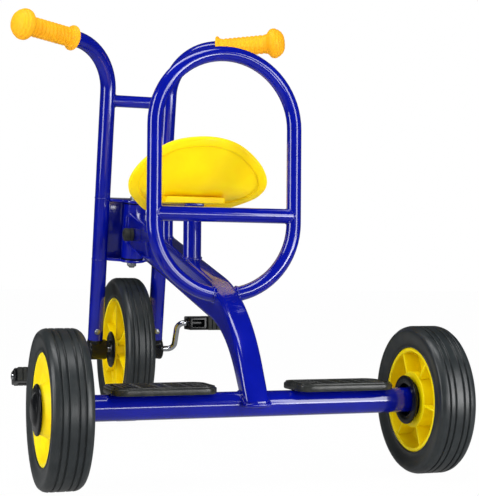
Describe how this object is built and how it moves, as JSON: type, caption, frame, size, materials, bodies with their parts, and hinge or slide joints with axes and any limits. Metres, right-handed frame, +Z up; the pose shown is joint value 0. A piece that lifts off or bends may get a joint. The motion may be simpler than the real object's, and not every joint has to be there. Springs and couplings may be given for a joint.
{
  "type": "two-rider pedal tricycle",
  "caption": "Steel pedal tricycle for two riders: a saddle in front, standing plates and a hand hoop behind, direct-drive front wheel",
  "frame": {"origin": "on the ground, in the middle of the box round the tricycle", "axes": "+Z up, -Y the way the tricycle faces and rides, +X to the rider's left, along the rear axle"},
  "size_m": [0.6526, 1.051, 0.8063],
  "materials": {
    "blue": "gloss powder coat",
    "yellow": "satin moulded",
    "grip": "soft matt",
    "tyre": "matt solid rubber",
    "black": "moulded",
    "rubber": "matt moulded",
    "chrome": "polished",
    "zinc": "zinc plated"
  },
  "bodies": {
    "frame": {"main_tube": "blue", "head_tube": "blue", "head_bush_upper": "black", "head_bush_lower": "black", "steering_stop_left": "rubber", "steering_stop_right": "rubber", "rear_axle_tube": "blue", "rear_axle": "zinc", "axle_bush_left": "black", "axle_bush_right": "black", "axle_nut_left": "zinc", "axle_nut_right": "zinc", "passenger_hoop": "blue", "hoop_crossbar": "blue", "seat_post": "blue", "seat_front_strut": "blue", "seat_rail": "blue", "seat_bolt_rear": "zinc", "seat_bolt_front": "zinc", "seat_shell": "yellow", "footplate_bracket_left": "blue", "footplate_bracket_right": "blue", "footplate_left": "rubber", "footplate_right": "rubber"},
    "fork": {"fork_leg_left": "blue", "fork_leg_right": "blue", "grip_left": "grip", "grip_right": "grip", "leg_rivet_left": "zinc", "leg_rivet_right": "zinc", "bearing_block_left": "black", "bearing_block_right": "black", "fork_crossbar": "blue", "steering_yoke": "blue", "kingpin": "zinc", "kingpin_nut": "zinc"},
    "front_wheel": {"front_tyre": "tyre", "front_rim": "yellow", "front_hub_left": "black", "front_hub_right": "black", "crank": "chrome"},
    "left_pedal": {"pedal_left": "black", "pedal_tread_rear_left": "rubber", "pedal_tread_front_left": "rubber"},
    "right_pedal": {"pedal_right": "black", "pedal_tread_rear_right": "rubber", "pedal_tread_front_right": "rubber"},
    "left_rear_wheel": {"rear_tyre_left": "tyre", "rear_rim_left": "yellow", "rear_hub_left": "black", "hub_cap_left": "black"},
    "right_rear_wheel": {"rear_tyre_right": "tyre", "rear_rim_right": "yellow", "rear_hub_right": "black", "hub_cap_right": "black"}
  },
  "joints": [
    {"name": "steer", "type": "hinge", "parent": "frame", "child": "fork", "pos_m": [0, -0.3104, 0.397], "axis": [0, 0.1822, 0.9833], "range_deg": [-60, 60]},
    {"name": "front_wheel_spin", "type": "hinge", "parent": "fork", "child": "front_wheel", "pos_m": [0, -0.3755, 0.15], "axis": [1, 0, 0], "continuous": true},
    {"name": "left_pedal_spin", "type": "hinge", "parent": "front_wheel", "child": "left_pedal", "pos_m": [0.18, -0.40365, 0.09476], "axis": [1, 0, 0], "continuous": true},
    {"name": "right_pedal_spin", "type": "hinge", "parent": "front_wheel", "child": "right_pedal", "pos_m": [-0.18, -0.34735, 0.20524], "axis": [1, 0, 0], "continuous": true},
    {"name": "left_wheel_spin", "type": "hinge", "parent": "frame", "child": "left_rear_wheel", "pos_m": [0.287, 0.4115, 0.114], "axis": [1, 0, 0], "continuous": true},
    {"name": "right_wheel_spin", "type": "hinge", "parent": "frame", "child": "right_rear_wheel", "pos_m": [-0.287, 0.4115, 0.114], "axis": [1, 0, 0], "continuous": true}
  ]
}
